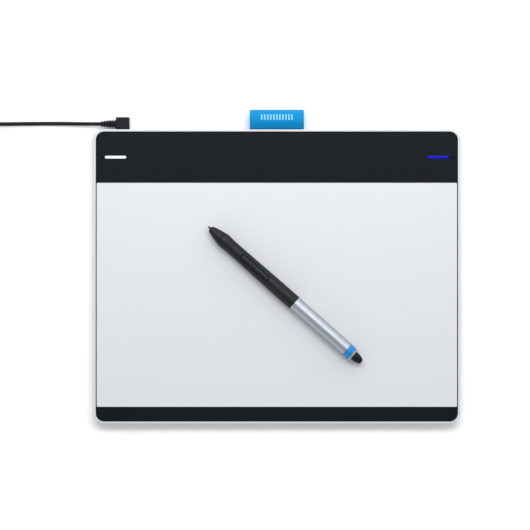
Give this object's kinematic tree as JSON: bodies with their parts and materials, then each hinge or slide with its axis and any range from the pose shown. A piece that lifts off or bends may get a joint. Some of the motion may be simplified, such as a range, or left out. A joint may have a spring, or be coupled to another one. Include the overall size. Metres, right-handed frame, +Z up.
{
  "type": "pen drawing tablet",
  "caption": "Flat pen drawing tablet with corner keys, a grey drawing sheet, a fabric pen loop, a pressure pen resting on it and a USB cable.",
  "frame": {"origin": "on the desk, under the middle of the tablet and its pen loop taken together", "axes": "+X to the tablet's right, +Y from the front edge to the rear edge with the keys and the pen loop, +Z up out of the drawing sheet"},
  "size_m": [0.4027, 0.238, 0.0219],
  "materials": {
    "case_white": "satin white moulded plastic",
    "cover_black": "fine-textured black plastic",
    "sheet_grey": "paper-like textured film",
    "mark_white": "translucent white light guide",
    "mark_blue": "translucent blue light guide",
    "board_green": "circuit board laminate",
    "chip_black": "moulded chip package",
    "film_amber": "polyimide flex and sensor film",
    "steel": "plated steel",
    "copper": "enamelled copper winding",
    "ferrite": "sintered ferrite",
    "rubber_dark": "soft rubber",
    "loop_blue": "tight woven nylon",
    "pen_black": "soft-touch rubberised grip",
    "pen_silver": "satin silver paint",
    "pen_blue": "translucent blue ring",
    "nib_black": "hard nib plastic",
    "cable_black": "soft cable jacket and plug mouldings"
  },
  "bodies": {
    "tablet": {"bottom_case": "case_white", "top_cover": "cover_black", "drawing_surface": "sheet_grey", "light_guide_left": "mark_white", "light_guide_right": "mark_blue", "status_leds": "mark_white", "key_switches": "chip_black", "touch_sensor": "film_amber", "digitizer_board": "board_green", "shield_plate": "steel", "main_board": "board_green", "key_board": "board_green", "board_chips": "chip_black", "digitizer_flex": "film_amber", "key_flex": "film_amber", "usb_socket": "steel", "usb_socket_tongue": "chip_black", "touch_switch_body": "steel", "case_screws": "steel", "rubber_feet": "rubber_dark", "nib_holder": "rubber_dark", "spare_nibs": "nib_black", "nib_removal_ring": "steel", "module_connector": "chip_black", "pen_loop": "loop_blue", "pen_loop_anchor": "cover_black"},
    "key_left_rear": {"express_key_left_rear": "cover_black"},
    "key_left_front": {"express_key_left_front": "cover_black"},
    "key_right_rear": {"express_key_right_rear": "cover_black"},
    "key_right_front": {"express_key_right_front": "cover_black"},
    "touch_switch": {"touch_switch_knob": "cover_black"},
    "cover": {"compartment_cover": "case_white"},
    "cable": {"usb_plug_body": "cable_black", "usb_plug_shell": "steel", "cable_strain_relief": "cable_black", "usb_cable": "cable_black", "usb_cable_tail": "cable_black", "cable_coil": "cable_black", "cable_tie": "rubber_dark", "usb_a_plug_body": "cable_black", "usb_a_plug_shell": "steel", "usb_a_plug_tongue": "case_white"},
    "pen": {"pen_nose_cone": "pen_black", "pen_grip": "pen_black", "pen_rear_barrel": "pen_silver", "pen_ring": "pen_blue", "pen_end_cap": "pen_silver", "pen_ferrite": "ferrite", "pen_coil": "copper", "pen_pressure_sensor": "chip_black", "pen_eraser_sensor": "chip_black", "pen_board": "board_green", "pen_switch_domes": "steel", "pen_chassis": "nib_black"},
    "pen_switch": {"pen_side_switch": "pen_black"},
    "nib": {"pen_nib": "nib_black"},
    "eraser": {"pen_eraser": "rubber_dark"}
  },
  "joints": [
    {"name": "key_left_rear_press", "type": "hinge", "parent": "tablet", "child": "key_left_rear", "pos_m": [-0.09405, 0.0925, 0.0098], "axis": [0, -1, 0], "range_deg": [0, 0.8], "stiffness_Nm_per_rad": 4},
    {"name": "key_left_front_press", "type": "hinge", "parent": "tablet", "child": "key_left_front", "pos_m": [-0.09405, 0.0735, 0.0098], "axis": [0, -1, 0], "range_deg": [0, 0.8], "stiffness_Nm_per_rad": 4},
    {"name": "key_right_rear_press", "type": "hinge", "parent": "tablet", "child": "key_right_rear", "pos_m": [0.09405, 0.0925, 0.0098], "axis": [0, 1, 0], "range_deg": [0, 0.8], "stiffness_Nm_per_rad": 4},
    {"name": "key_right_front_press", "type": "hinge", "parent": "tablet", "child": "key_right_front", "pos_m": [0.09405, 0.0735, 0.0098], "axis": [0, 1, 0], "range_deg": [0, 0.8], "stiffness_Nm_per_rad": 4},
    {"name": "touch_switch_slide", "type": "slide", "parent": "tablet", "child": "touch_switch", "axis": [1, 0, 0], "range_m": [0, 0.0025]},
    {"name": "cover_open", "type": "hinge", "parent": "tablet", "child": "cover", "pos_m": [0, 0.06545, 0.0017], "axis": [-1, 0, 0], "range_deg": [0, 85]},
    {"name": "usb_unplug", "type": "slide", "parent": "tablet", "child": "cable", "axis": [0, 1, 0], "range_m": [0, 0.007]},
    {"name": "pen_lift", "type": "slide", "parent": "tablet", "child": "pen", "axis": [0, 0, 1], "range_m": [0, 0.04]},
    {"name": "pen_switch_rock", "type": "hinge", "parent": "pen", "child": "pen_switch", "pos_m": [-0.01667, -0.00094, 0.0204], "axis": [-0.6626, -0.749, 0], "range_deg": [-2.5, 2.5], "stiffness_Nm_per_rad": 0.2},
    {"name": "nib_press", "type": "slide", "parent": "pen", "child": "nib", "axis": [0.749, -0.6626, 0], "range_m": [0, 0.0005], "stiffness_N_per_m": 1500},
    {"name": "eraser_press", "type": "slide", "parent": "pen", "child": "eraser", "axis": [-0.749, 0.6626, 0], "range_m": [0, 0.0006], "stiffness_N_per_m": 1500}
  ]
}
